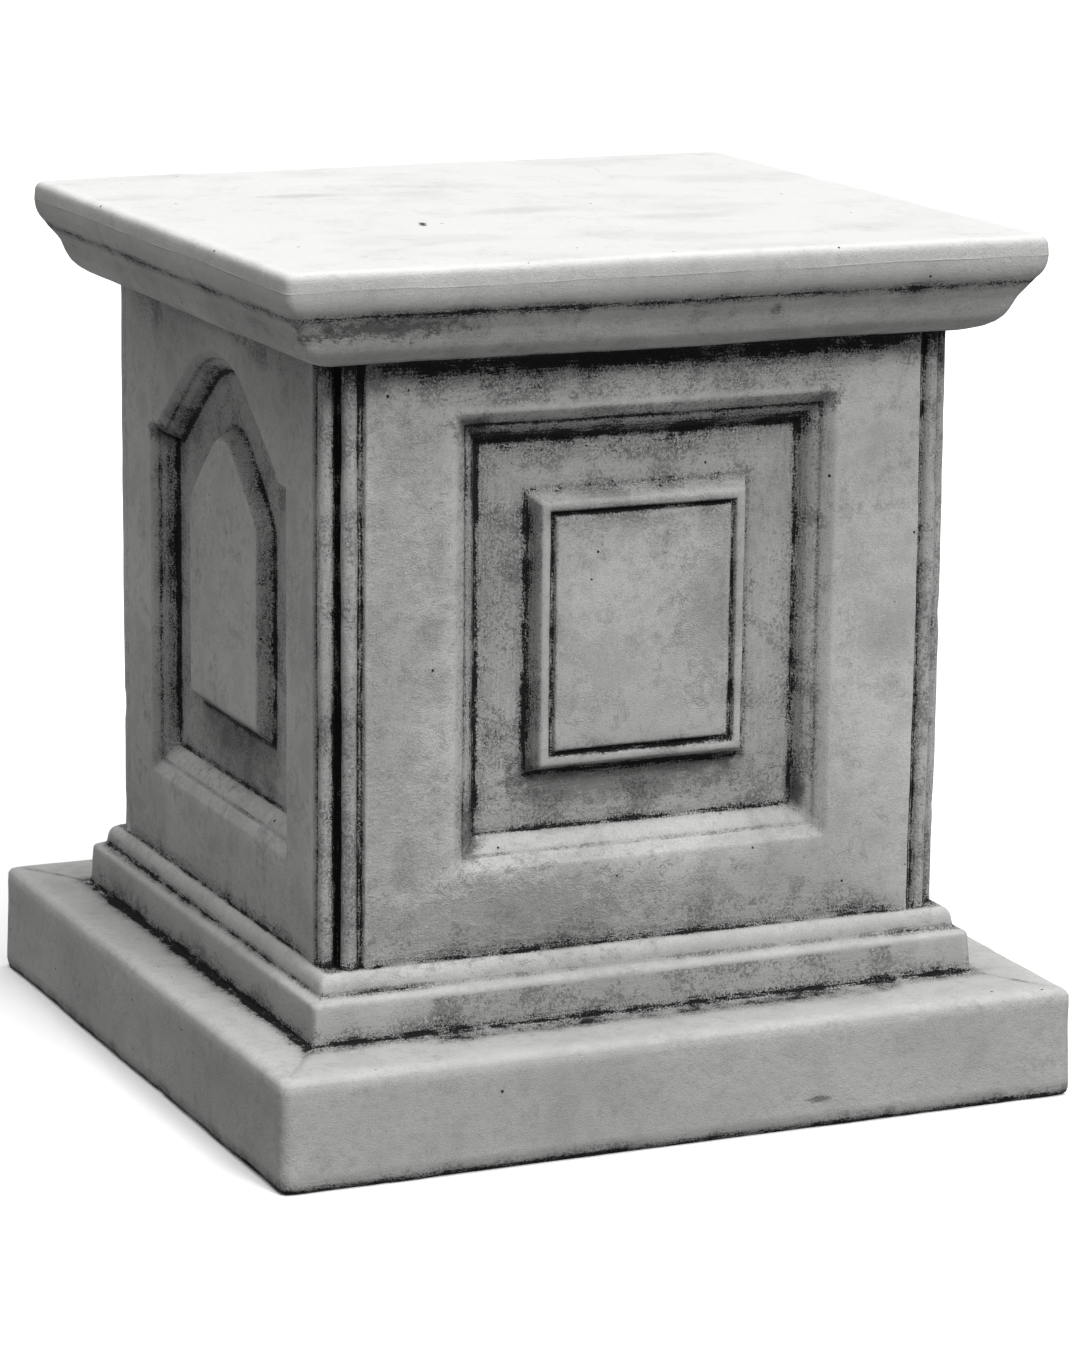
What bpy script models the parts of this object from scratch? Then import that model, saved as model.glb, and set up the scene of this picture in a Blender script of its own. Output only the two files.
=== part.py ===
"""Low garden pedestal in cast stone: plinth, moulded base, panelled die with reeded corners, moulded cap.

One solid casting. Metres, +Z up, front face towards -Y, origin at the bottom centre.
The body is lofted from plan rings stacked up a moulding profile. Each sunk panel is one cutter made of
nested outlines, each outline drawn in from the last by the panel's own moulding.
"""
import math

import bmesh
import bpy

# Overall sizes
PEDESTAL_HEIGHT = 0.3865
PLINTH_WIDTH = 0.380
PLINTH_DEPTH = 0.380
PLINTH_HEIGHT = 0.0500
DIE_WIDTH = 0.298
DIE_DEPTH = 0.275

# Plinth edges
PLINTH_TOP_ROUND = 0.0045
PLINTH_CORNER_RADIUS = 0.0040
PLINTH_BATTER = 0.0008

# Base moulding between plinth and die: a battered band, a small groove, a rounded step
BASE_HEIGHT = 0.0315
BASE_BAND_HEIGHT = 0.0190
BASE_FOOT_PROJECTION = 0.0114
BASE_BAND_PROJECTION = 0.0101
BASE_BAND_ROUND = 0.0026
BASE_STEP_PROJECTION = 0.0056
BASE_GROOVE_HEIGHT = 0.0022
BASE_CORNER_RADIUS = 0.0025

# Cap: a rounded edge above a hollow and a quarter-round
CAP_HEIGHT = 0.0470
CAP_OVERHANG = 0.0298
CAP_EDGE_HEIGHT = 0.0205
CAP_EDGE_BULGE = 0.0070
CAP_UNDERCUT = 0.0015
CAP_HOLLOW_HEIGHT = 0.0110
CAP_HOLLOW_RUN = 0.0068
CAP_HOLLOW_SAG = 0.0010
CAP_QUARTER_SLOPE = 0.8
CAP_CORNER_RADIUS = 0.0040

# Reeded corners of the die: two beads either side of a deep groove on the diagonal
BEAD_RADIUS = 0.0037
BEAD_INSET = 0.0114
QUIRK_WIDTH = 0.0025
QUIRK_DEPTH = 0.0024
GROOVE_FLOOR_INSET = 0.0103
BEAD_STEPS = 8

# Front and back panels: a rectangular recess with a raised block
FRONT_PANEL_WIDTH = 0.180
FRONT_PANEL_HEIGHT = 0.2005
FRONT_PANEL_RISE = 0.0360
FRONT_PANEL_DEPTH = 0.0125
FRONT_PANEL_MOULDING = 0.0140
FRONT_BLOCK_WIDTH = 0.1040
FRONT_BLOCK_HEIGHT = 0.1240
FRONT_BLOCK_RISE = 0.0390
FRONT_BLOCK_BEVEL = 0.0040
FRONT_BLOCK_DEPTH = 0.0036
FRONT_RIM_WIDTH = 0.0036
FRONT_GROOVE_WIDTH = 0.0030
FRONT_GROOVE_DEPTH = 0.0020

# Side panels: a shouldered pointed arch with a raised lancet block
SIDE_PANEL_WIDTH = 0.176
SIDE_PANEL_RISE = 0.0365
SIDE_PANEL_SPRING = 0.1645
SIDE_PANEL_DEPTH = 0.0110
SIDE_SILL_MOULDING = 0.0140
SIDE_JAMB_MOULDING = 0.0105
SIDE_SHOULDER = 0.0085
SIDE_ARCH_RISE = 0.0460
SIDE_ARCH_CROWN_RADIUS = 0.060
SIDE_BLOCK_WIDTH = 0.0850
SIDE_BLOCK_RISE = 0.0470
SIDE_BLOCK_SPRING = 0.0900
SIDE_BLOCK_ARCH_RISE = 0.0335
SIDE_BLOCK_CROWN_RADIUS = 0.0180
SIDE_BLOCK_BEVEL = 0.0042
SIDE_BLOCK_SILL_BEVEL = 0.0065
SIDE_BLOCK_DEPTH = 0.0030
CROWN_STEPS = 6

# Panel moulding as shares of its own run and depth, from the die's face to the sunk ground
PANEL_PROFILE = ((0.0, 0.0), (0.08, 0.03), (0.37, 0.28), (0.40, 0.36), (0.52, 0.42),
                 (0.70, 0.55), (0.76, 0.63), (0.84, 0.78), (1.0, 1.0))

# Lofting
PLAN_CORNER_STEPS = 3
HIDDEN_OVERLAP = 0.020
CLEARANCE = 0.004
MERGE_DISTANCE = 0.00005
SHARP_ANGLE = 28.0

STONE_COLOR = (0.47, 0.47, 0.46, 1.0)
STONE_ROUGHNESS = 0.88


def clear_scene():
    """Remove whatever the scene starts with."""
    for item in list(bpy.data.objects):
        bpy.data.objects.remove(item, do_unlink=True)


def stone_material():
    """Matt grey cast stone."""
    material = bpy.data.materials.new("cast_stone")
    material.use_nodes = True
    shader = material.node_tree.nodes["Principled BSDF"]
    shader.inputs["Base Color"].default_value = STONE_COLOR
    shader.inputs["Roughness"].default_value = STONE_ROUGHNESS
    shader.inputs["Metallic"].default_value = 0.0
    return material


def mesh_object(name, vertices, faces):
    """A closed mesh object with its normals outwards."""
    mesh = bpy.data.meshes.new(name)
    mesh.from_pydata(vertices, [], faces)
    work = bmesh.new()
    work.from_mesh(mesh)
    bmesh.ops.recalc_face_normals(work, faces=work.faces)
    work.to_mesh(mesh)
    work.free()
    item = bpy.data.objects.new(name, mesh)
    bpy.context.collection.objects.link(item)
    return item


def loft(name, rings):
    """Join rings of equal length into one closed skin, with a flat face on the first and the last ring."""
    count = len(rings[0])
    vertices = [point for ring in rings for point in ring]
    faces = [tuple(range(count)), tuple((len(rings) - 1) * count + k for k in range(count))[::-1]]
    for level in range(len(rings) - 1):
        for k in range(count):
            following = (k + 1) % count
            low = level * count
            high = low + count
            faces.append((low + k, high + k, high + following, low + following))
    return mesh_object(name, vertices, faces)


def arc(center, radius, start, end, steps):
    """Points along a circular arc, both ends included; angles in degrees."""
    points = []
    for k in range(steps + 1):
        angle = math.radians(start + (end - start) * k / steps)
        points.append((center[0] + radius * math.cos(angle), center[1] + radius * math.sin(angle)))
    return points


def rounded_rectangle(half_width, half_depth, radius):
    """Plan ring, anticlockwise, with a small arc at each corner."""
    ring = []
    for quarter, (sx, sy) in enumerate(((1, 1), (-1, 1), (-1, -1), (1, -1))):
        center = (sx * (half_width - radius), sy * (half_depth - radius))
        ring += arc(center, radius, 90 * quarter, 90 * quarter + 90, PLAN_CORNER_STEPS)
    return ring


def stack(name, half_width, half_depth, radius, profile):
    """Loft plan rings up a profile of (offset from the given half sizes, height)."""
    rings = []
    for offset, height in profile:
        reach = max(radius + min(offset, 0.0), 0.3 * radius)
        plan = rounded_rectangle(half_width + offset, half_depth + offset, reach)
        rings.append([(x, y, height) for x, y in plan])
    return loft(name, rings)


def plinth_profile():
    """Square slab, slightly battered, its top edge rounded; runs on under the base."""
    top = PLINTH_HEIGHT
    profile = [(0.0, 0.0)]
    center = (-PLINTH_BATTER - PLINTH_TOP_ROUND, top - PLINTH_TOP_ROUND)
    profile += arc(center, PLINTH_TOP_ROUND, 0, 90, 4)
    return profile


def base_profile():
    """Band, groove and rounded step, from inside the plinth up to the foot of the die."""
    bottom = PLINTH_HEIGHT
    band_top = bottom + BASE_BAND_HEIGHT
    step_foot = band_top + BASE_GROOVE_HEIGHT + 0.4 * BASE_BAND_ROUND
    die_foot = bottom + BASE_HEIGHT
    profile = [(BASE_FOOT_PROJECTION, bottom - HIDDEN_OVERLAP), (BASE_FOOT_PROJECTION, bottom)]
    center = (BASE_BAND_PROJECTION - BASE_BAND_ROUND, band_top - BASE_BAND_ROUND)
    profile += arc(center, BASE_BAND_ROUND, 5, 80, 4)
    profile.append((BASE_STEP_PROJECTION + 0.0006, band_top + 0.4 * BASE_BAND_ROUND))
    profile.append((BASE_STEP_PROJECTION, step_foot))
    rise = die_foot - step_foot
    for k in range(1, 5):
        angle = math.radians(90 * k / 4)
        profile.append((BASE_STEP_PROJECTION * math.cos(angle), step_foot + rise * math.sin(angle)))
    profile.append((-HIDDEN_OVERLAP, die_foot + 0.0004))
    return profile


def cap_profile():
    """Soffit, quarter-round, hollow, undercut and rounded edge, up to the flat top."""
    top = PEDESTAL_HEIGHT
    soffit = top - CAP_HEIGHT
    edge_foot = top - CAP_EDGE_HEIGHT
    hollow_foot = edge_foot - CAP_HOLLOW_HEIGHT
    edge_out = CAP_OVERHANG - 0.5 * CAP_EDGE_BULGE
    hollow_out = edge_out - CAP_UNDERCUT
    quarter_out = hollow_out - CAP_HOLLOW_RUN
    profile = [(-HIDDEN_OVERLAP, soffit + 0.0004)]
    for k in range(7):
        angle = 0.5 * math.pi * k / 6
        height = soffit + (hollow_foot - soffit) * (1 - math.cos(angle)) ** CAP_QUARTER_SLOPE
        profile.append((quarter_out * math.sin(angle), height))
    profile.append((quarter_out + 0.0008, hollow_foot + 0.0009))
    for k in range(1, 5):
        share = k / 4
        sag = CAP_HOLLOW_SAG * math.sin(math.pi * share)
        out = quarter_out + 0.0008 + (CAP_HOLLOW_RUN - 0.0008) * share
        height = hollow_foot + 0.0009 + (CAP_HOLLOW_HEIGHT - 0.0009) * share
        profile.append((out - sag, height + sag))
    middle = (edge_foot + top) / 2
    half = (top - edge_foot) / 2
    for k in range(9):
        angle = math.radians(-60 + 150 * k / 8)
        out = CAP_OVERHANG - CAP_EDGE_BULGE + CAP_EDGE_BULGE * math.cos(angle)
        profile.append((out, middle + half * math.sin(angle)))
    return profile


def reeded_corner():
    """One corner of the die's plan, as (distance in along the face, distance in behind it), face to face."""
    face_end = BEAD_INSET + BEAD_RADIUS + QUIRK_WIDTH
    half = [(face_end, 0.0), (face_end - 0.25 * QUIRK_WIDTH, QUIRK_DEPTH)]
    half.append((face_end - 0.8 * QUIRK_WIDTH, QUIRK_DEPTH + 0.0004))
    half += arc((BEAD_INSET, BEAD_RADIUS), BEAD_RADIUS, 0, -225, BEAD_STEPS)
    reach = BEAD_RADIUS * math.sin(math.radians(45))
    wall = (BEAD_INSET - reach + 0.0014, BEAD_RADIUS + reach + 0.0014)
    half.append(wall)
    mirrored = [(q, p) for p, q in half[::-1]]
    return half + [(GROOVE_FLOOR_INSET, GROOVE_FLOOR_INSET)] + mirrored


def die_plan():
    """The die's plan, anticlockwise, a reeded corner at each of the four."""
    ring = []
    corner = reeded_corner()
    half_width = DIE_WIDTH / 2
    half_depth = DIE_DEPTH / 2
    for sx, sy in ((1, -1), (1, 1), (-1, 1), (-1, -1)):
        points = [(sx * (half_width - p), sy * (half_depth - q)) for p, q in corner]
        if sx * sy > 0:
            points = points[::-1]
        ring += points
    return ring


def inset(outline, distances):
    """Draw a closed anticlockwise outline in, each edge by its own distance, with mitred corners."""
    count = len(outline)
    result = []
    for k in range(count):
        before = outline[k - 1]
        here = outline[k]
        after = outline[(k + 1) % count]
        first = (here[0] - before[0], here[1] - before[1])
        second = (after[0] - here[0], after[1] - here[1])
        first_length = math.hypot(*first)
        second_length = math.hypot(*second)
        n1 = (-first[1] / first_length, first[0] / first_length)
        n2 = (-second[1] / second_length, second[0] / second_length)
        d1 = distances[k - 1]
        d2 = distances[k]
        cross = n1[0] * n2[1] - n1[1] * n2[0]
        if abs(cross) < 0.01:
            shift = ((d1 * n1[0] + d2 * n2[0]) / 2, (d1 * n1[1] + d2 * n2[1]) / 2)
        else:
            shift = ((d1 * n2[1] - d2 * n1[1]) / cross, (d2 * n1[0] - d1 * n2[0]) / cross)
        result.append((here[0] + shift[0], here[1] + shift[1]))
    return result


def rectangle(width, bottom, height):
    """Anticlockwise rectangle from its bottom left corner."""
    half = width / 2
    return [(-half, bottom), (half, bottom), (half, bottom + height), (-half, bottom + height)]


def arch_line(half_span, spring, rise, crown_radius):
    """Right foot to left foot of an arch: straight flanks that meet a rounded crown."""
    center_height = spring + rise - crown_radius
    reach = math.hypot(half_span, spring - center_height)
    toward = math.atan2(center_height - spring, half_span)
    flank = toward + math.asin(crown_radius / reach)
    crown = arc((0.0, center_height), crown_radius, 90 - math.degrees(flank), 90 + math.degrees(flank),
                CROWN_STEPS)
    return [(half_span, spring)] + crown + [(-half_span, spring)]


def side_outline():
    """Outline of the sunk arch: sill, jambs, small shoulders, flanks and crown."""
    die_foot = PLINTH_HEIGHT + BASE_HEIGHT
    sill = die_foot + SIDE_PANEL_RISE
    half = SIDE_PANEL_WIDTH / 2
    spring = sill + SIDE_PANEL_SPRING
    head = arch_line(half - SIDE_SHOULDER, spring, SIDE_ARCH_RISE, SIDE_ARCH_CROWN_RADIUS)
    return [(-half, sill), (half, sill), (half, spring)] + head + [(-half, spring)]


def lancet_outline():
    """Outline of the raised block's face in the sunk arch."""
    sill = PLINTH_HEIGHT + BASE_HEIGHT + SIDE_PANEL_RISE + SIDE_BLOCK_RISE
    half = SIDE_BLOCK_WIDTH / 2
    head = arch_line(half, sill + SIDE_BLOCK_SPRING, SIDE_BLOCK_ARCH_RISE, SIDE_BLOCK_CROWN_RADIUS)
    return [(-half, sill), (half, sill)] + head


def recess_levels(outline, runs, depth):
    """Nested outlines of a panel's moulding with their depths, begun a little outside the face."""
    first_run, first_depth = PANEL_PROFILE[1]
    lead = CLEARANCE / (first_depth * depth)
    levels = [(inset(outline, [-lead * first_run * run for run in runs]), -CLEARANCE)]
    for share, deep in PANEL_PROFILE[1:]:
        levels.append((inset(outline, [share * run for run in runs]), deep * depth))
    return levels


def front_levels():
    """Front panel: moulded recess, then a raised block with rim, groove and field."""
    bottom = PLINTH_HEIGHT + BASE_HEIGHT + FRONT_PANEL_RISE
    outline = rectangle(FRONT_PANEL_WIDTH, bottom, FRONT_PANEL_HEIGHT)
    recess = recess_levels(outline, [FRONT_PANEL_MOULDING] * 4, FRONT_PANEL_DEPTH)
    block = rectangle(FRONT_BLOCK_WIDTH, bottom + FRONT_BLOCK_RISE, FRONT_BLOCK_HEIGHT)
    face = FRONT_BLOCK_DEPTH
    rim = FRONT_BLOCK_BEVEL + FRONT_RIM_WIDTH
    steps = ((0.0, FRONT_PANEL_DEPTH), (0.7 * FRONT_BLOCK_BEVEL, face + 0.0010), (FRONT_BLOCK_BEVEL, face),
             (rim, face), (rim + 0.25 * FRONT_GROOVE_WIDTH, face + FRONT_GROOVE_DEPTH),
             (rim + 0.75 * FRONT_GROOVE_WIDTH, face + FRONT_GROOVE_DEPTH), (rim + FRONT_GROOVE_WIDTH, face))
    return recess, [(inset(block, [step] * 4), deep) for step, deep in steps]


def side_levels():
    """Side panel: moulded arch recess, then a raised lancet block with a rounded edge."""
    outline = side_outline()
    runs = [SIDE_SILL_MOULDING] + [SIDE_JAMB_MOULDING] * (len(outline) - 1)
    recess = recess_levels(outline, runs, SIDE_PANEL_DEPTH)
    block = lancet_outline()
    edge = 0.0010
    levels = []
    for share, deep in ((1.0, SIDE_PANEL_DEPTH), (0.12, SIDE_BLOCK_DEPTH + edge), (-0.12, SIDE_BLOCK_DEPTH)):
        bevels = [-share * SIDE_BLOCK_SILL_BEVEL] + [-share * SIDE_BLOCK_BEVEL] * (len(block) - 1)
        levels.append((inset(block, bevels), deep))
    return recess, levels


def place(points, depth, face, turn):
    """Stand outline points up on a face of the die, sunk by a depth; turn is in quarter turns from the front."""
    placed = []
    for across, height in points:
        x = across
        y = -face + depth
        for _ in range(turn):
            x, y = -y, x
        placed.append((x, y, height))
    return placed


def panel_cutter(name, recess, block, face, turn):
    """Closed cutter for one panel: the recess's skin, its flat ground around the block, and the block's skin."""
    outer = [place(points, deep, face, turn) for points, deep in recess]
    inner = [place(points, deep, face, turn) for points, deep in block]
    recess_body = loft(name, outer)
    plug_rings = [place(block[0][0], recess[-1][1] + CLEARANCE, face, turn)] + inner
    plug = loft(name + "_block", plug_rings)
    subtract(recess_body, plug, "DIFFERENCE")
    bpy.data.objects.remove(plug, do_unlink=True)
    return recess_body


def subtract(target, tool, operation):
    """Apply one exact Boolean of the tool on the target."""
    tool.hide_render = True
    tool.display_type = "WIRE"
    change = target.modifiers.new(tool.name, "BOOLEAN")
    change.operation = operation
    change.solver = "EXACT"
    change.object = tool
    bpy.context.view_layer.objects.active = target
    bpy.ops.object.modifier_apply(modifier=change.name)


def build_pedestal():
    """Join plinth, base, die and cap, sink the four panels, and finish the mesh."""
    half_width = DIE_WIDTH / 2
    half_depth = DIE_DEPTH / 2
    plinth = stack("cast_pedestal", PLINTH_WIDTH / 2, PLINTH_DEPTH / 2, PLINTH_CORNER_RADIUS, plinth_profile())
    base = stack("base", half_width, half_depth, BASE_CORNER_RADIUS, base_profile())
    low = PLINTH_HEIGHT + BASE_HEIGHT - HIDDEN_OVERLAP
    high = PEDESTAL_HEIGHT - CAP_HEIGHT + HIDDEN_OVERLAP
    die = loft("die", [[(x, y, height) for x, y in die_plan()] for height in (low, high)])
    cap = stack("cap", half_width, half_depth, CAP_CORNER_RADIUS, cap_profile())
    for tool in (base, die, cap):
        subtract(plinth, tool, "UNION")
        bpy.data.objects.remove(tool, do_unlink=True)
    front = front_levels()
    side = side_levels()
    for turn in range(4):
        levels = side if turn % 2 else front
        face = half_width if turn % 2 else half_depth
        cutter = panel_cutter("panel_cutter", *levels, face, turn)
        subtract(plinth, cutter, "DIFFERENCE")
        bpy.data.objects.remove(cutter, do_unlink=True)
    return plinth


def finish(item, material):
    """Merge stray doubles, shade smooth with the sharp edges kept, and give the stone."""
    work = bmesh.new()
    work.from_mesh(item.data)
    bmesh.ops.remove_doubles(work, verts=work.verts, dist=MERGE_DISTANCE)
    bmesh.ops.dissolve_degenerate(work, edges=work.edges, dist=MERGE_DISTANCE)
    bmesh.ops.recalc_face_normals(work, faces=work.faces)
    work.to_mesh(item.data)
    work.free()
    item.data.materials.clear()
    item.data.materials.append(material)
    item.data.shade_smooth()
    item.data.set_sharp_from_angle(angle=math.radians(SHARP_ANGLE))


clear_scene()
pedestal = build_pedestal()
finish(pedestal, stone_material())
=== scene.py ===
# %% [markdown]
# # A garden pedestal in cast stone
# The real pedestal is one casting: a dry sand and cement mix is rammed into a mould, turned out, rubbed
# down by hand and washed with a thin dark stain that stays in the hollows. The mould gives it mouldings,
# sunk panels and reeded corners; the hand gives it soft, slightly wavy edges. It is drawn here in that
# order: clean surfaces worked out from profiles, then the unevenness of the hand, then stone and stain.

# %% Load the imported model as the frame
import math

import bmesh
import bpy
import numpy as np
from mathutils import Matrix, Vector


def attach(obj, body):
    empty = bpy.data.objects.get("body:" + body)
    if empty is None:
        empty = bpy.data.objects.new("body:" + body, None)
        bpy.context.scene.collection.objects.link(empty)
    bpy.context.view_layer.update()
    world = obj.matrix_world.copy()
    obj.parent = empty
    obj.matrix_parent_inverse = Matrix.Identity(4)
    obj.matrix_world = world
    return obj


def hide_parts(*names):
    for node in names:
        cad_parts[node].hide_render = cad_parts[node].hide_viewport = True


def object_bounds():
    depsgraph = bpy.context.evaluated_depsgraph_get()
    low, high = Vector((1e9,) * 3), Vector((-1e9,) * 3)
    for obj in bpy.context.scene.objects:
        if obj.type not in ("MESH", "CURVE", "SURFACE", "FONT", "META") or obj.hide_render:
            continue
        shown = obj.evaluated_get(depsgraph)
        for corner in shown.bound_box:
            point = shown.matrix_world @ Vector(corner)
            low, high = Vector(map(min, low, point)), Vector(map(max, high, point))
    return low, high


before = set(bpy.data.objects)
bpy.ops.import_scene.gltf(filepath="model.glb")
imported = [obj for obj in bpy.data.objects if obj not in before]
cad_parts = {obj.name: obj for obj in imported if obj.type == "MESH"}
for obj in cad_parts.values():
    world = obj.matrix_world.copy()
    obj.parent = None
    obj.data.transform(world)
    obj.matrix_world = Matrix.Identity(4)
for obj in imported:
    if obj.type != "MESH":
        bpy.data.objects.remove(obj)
cad_low, cad_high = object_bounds()
MM = 0.001
print("CAD box, mm:", [round(float(v) / MM, 1) for v in (*cad_low, *cad_high)])

# %% [markdown]
# ## Sizes
# All sizes are millimetres, as a mould maker would write them. Every surface point also carries two notes for
# the finish: how much stain it holds, with painted shade added in some places, and whether a brush would run
# upwards there or sideways.

# %% Sizes of the blocks
HEIGHT = 386.5
PLINTH_HALF = 190.0
DIE_HALF_X = 149.0
DIE_HALF_Y = 137.5
DIE_FOOT = 79.5
SOFFIT = 341.6
CORNER = 17.6
FACE_POINTS = 54
DIE_LEVELS = 54
ACROSS, UP = FACE_POINTS - 1, DIE_LEVELS - 1
PLINTH_RADIUS, BASE_RADIUS, CAP_RADIUS = 4.0, 2.6, 4.0

# %% Where the two notes stand in a point's row, after x, y and z
STAIN, UPRIGHT = 3, 4

# %% [markdown]
# ## Fairing a profile
# A mould's edges are never quite sharp, and a render needs more points where a line turns than where it
# runs straight. One function does both jobs for every moulding: it walks the line at an even step, blurs it
# a little, and picks points that crowd where the direction changes.

# %% Fair a profile
FAIR_STEP = 0.1
BELL_REACH = 3
TURN_LENGTH = 3.5


def fair(line, softness, count):
    """A line of points softened and resampled.

    The line is walked at an even step and averaged with a bell curve as wide as softness. Points are then
    taken at equal shares of (length + TURN_LENGTH times the angle turned so far).
    """
    line = np.asarray(line, float)
    length = np.r_[0, np.cumsum(np.hypot(*np.diff(line[:, :2], axis=0).T))]
    steps = np.linspace(0, length[-1], int(length[-1] / FAIR_STEP) + 1)
    path = np.stack([np.interp(steps, length, column) for column in line.T], 1)
    reach = min(int(BELL_REACH * softness / FAIR_STEP) + 1, len(path) - 1)
    bell = np.exp(-0.5 * (np.arange(-reach, reach + 1) * FAIR_STEP / softness) ** 2)
    before = 2 * path[0] - path[reach:0:-1]
    after = 2 * path[-1] - path[-2:-reach - 2:-1]
    padded = np.vstack([before, path, after])
    soft = np.stack([np.convolve(column, bell / bell.sum(), "valid") for column in padded.T], 1)
    heading = np.unwrap(np.arctan2(np.gradient(soft[:, 1]), np.gradient(soft[:, 0])))
    measure = np.r_[0, np.cumsum(FAIR_STEP + TURN_LENGTH * np.abs(np.diff(heading)))]
    wanted = np.linspace(0, measure[-1], count)
    return np.stack([np.interp(wanted, measure, column) for column in soft.T], 1)


def arc(center, radii, start, end, count):
    """Points of an ellipse arc: centre plus (radius times cosine, radius times sine), angles in degrees."""
    angle = np.radians(np.linspace(start, end, count))
    return np.stack([center[0] + radii[0] * np.cos(angle), center[1] + radii[1] * np.sin(angle)], 1)


def stained(points, stain):
    """Give every point of a line the same stain."""
    points = np.asarray(points, float)
    return np.column_stack([points, np.full(len(points), float(stain))])


right_angle = fair([(0, 0, 0), (10, 0, 0), (10, 10, 0)], 0.6, 5)
print("A right angle faired:", np.round(right_angle[:, :2], 1).tolist())

# %% [markdown]
# ## The hand
# A rubbed-down casting is nowhere quite flat: faces wave by a few tenths of a millimetre and edges wander.
# A sum of slow waves in many directions gives that, costs nothing, and repeats exactly.

# %% Waves
SEED = 31
WAVE_SPAN = (0.7, 1.5)
WAVE_CREST = 1.2
rng = np.random.default_rng(SEED)


def waves(points, wavelength, count):
    """Sum of sines: each has its own direction, phase and a wavelength near the one given; about -1 to 1."""
    direction = rng.normal(size=(count, points.shape[1]))
    direction /= np.linalg.norm(direction, axis=1)[:, None]
    number = 2 * math.pi / (wavelength * rng.uniform(*WAVE_SPAN, count))
    phase = rng.uniform(0, 2 * math.pi, count)
    return np.sin(points @ (direction * number[:, None]).T + phase).sum(1) / math.sqrt(count) / WAVE_CREST


# %% [markdown]
# ## The plan
# Every horizontal section of the pedestal is one ring of points. Along each side the points stand at fixed
# places, so that a ring of the plinth and a ring of the cap join without a twist. At each corner the ring
# carries the points that the die needs for its two beads and the deep groove between them; elsewhere those
# same points simply round the corner.

# %% The reeded corner, as distances in from the two faces
BEAD = 3.7
BEAD_INSET = 11.4
BEAD_POINTS = 9
BEAD_STAIN, BEAD_END_STAIN = 0.38, 0.5
QUIRK = 2.5


def reeded_corner():
    """Half a corner, then its mirror image: quirk, bead, and the floor of the deep groove.

    Columns: distance in from the side face, distance in behind the front face, stain. The stain of the bead
    is its own stain plus the end stain times the fourth power of the distance from its middle.
    """
    edge = BEAD_INSET + BEAD + QUIRK
    quirk = [(edge, 0, 0.10), (edge - 0.4, 1.0, 0.30), (edge - 1.2, 2.1, 0.90), (edge - 2.0, 2.3, 0.65)]
    bead = arc((BEAD_INSET, BEAD), (BEAD, BEAD), -12, -225, BEAD_POINTS)
    bead_stain = BEAD_STAIN + BEAD_END_STAIN * np.linspace(-1, 1, BEAD_POINTS) ** 4
    floor = [(9.9, 7.6, 1.0), (10.1, 9.0, 1.0), (10.3, 10.3, 1.0)]
    half = np.vstack([quirk, np.column_stack([bead, bead_stain]), floor])
    return np.vstack([half, half[-2::-1][:, [1, 0, 2]]])


corner = reeded_corner()
CORNER_POINTS = len(corner)

# %% The same points along a plain corner: never backwards, and the last few at even steps
EVEN_STEPS = 5
shadow = np.minimum.accumulate(corner[:CORNER_POINTS // 2 + 1, 0])
shadow[-EVEN_STEPS:] = np.linspace(shadow[-EVEN_STEPS - 1], 0, EVEN_STEPS + 1)[1:]
round_path = np.column_stack([np.r_[shadow, np.zeros(CORNER_POINTS // 2)],
                              np.r_[np.zeros(CORNER_POINTS // 2), shadow[::-1]]])
print("Corner points:", CORNER_POINTS)

# %% Rings
SIDES = (((1, 0), (0, -1)), ((0, 1), (1, 0)), ((-1, 0), (0, 1)), ((0, -1), (-1, 0)))
TINY = 1e-9
INNER_SHRINK = 0.5
LEAST_RADIUS = 1.0


def half_sizes(turn, half_x, half_y):
    """Half length along a side, and half distance across, for the side at this quarter turn."""
    return (half_x, half_y) if turn % 2 == 0 else (half_y, half_x)


def face_places(turn):
    """Even places of the ring's points along one flat face of the die."""
    along = half_sizes(turn, DIE_HALF_X, DIE_HALF_Y)[0] - CORNER
    return np.linspace(-along, along, FACE_POINTS)


def ring(half_x, half_y, radius, reeded=False):
    """One section, anticlockwise from the front left: for each side its face points, then its corner.

    The reeded corner sits at its own size on the die. Everywhere else the corner's points are stretched to
    reach from the face's end to the corner, and pushed out onto a quarter circle of the given radius.
    """
    parts = []
    for turn, (along, out) in enumerate(SIDES):
        half, reach = half_sizes(turn, half_x, half_y)
        places = face_places(turn)
        end = places[-1]
        next_end = face_places(turn + 1)[0]
        if reeded:
            local = np.column_stack([half - corner[:, 0], reach - corner[:, 1]])
        else:
            stretch = np.array([(half - end) / CORNER, (reach + next_end) / CORNER])
            local = np.array([half, reach]) - round_path * stretch
            center = np.array([half, reach]) - radius
            away = local - center
            turned = (away > 0).all(1)
            scale = radius / np.maximum(np.hypot(*away.T), TINY)
            local[turned] = (center + away * scale[:, None])[turned]
        local = np.vstack([np.column_stack([places, np.full(FACE_POINTS, reach)])[:-1], local[:-1]])
        parts.append(local[:, :1] * np.array(along) + local[:, 1:] * np.array(out))
    return np.vstack(parts)


RING_POINTS = len(ring(PLINTH_HALF, PLINTH_HALF, PLINTH_RADIUS))
RING_STEP = RING_POINTS // 4
corner_starts = [turn * RING_STEP + ACROSS for turn in range(4)]


def rise(profile, half_x, half_y, radius):
    """Stack rings up a profile of (out, height, stain).

    The result is levels by ring points by (x, y, z, stain, upright); a moulding's brush marks run sideways.
    """
    levels = []
    for out, level, stain in profile:
        plan = ring(half_x + out, half_y + out, max(radius + min(out, 0) * INNER_SHRINK, LEAST_RADIUS))
        notes = np.broadcast_to((level, stain, 0.0), (len(plan), 3))
        levels.append(np.column_stack([plan, notes]))
    return np.array(levels)


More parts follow.
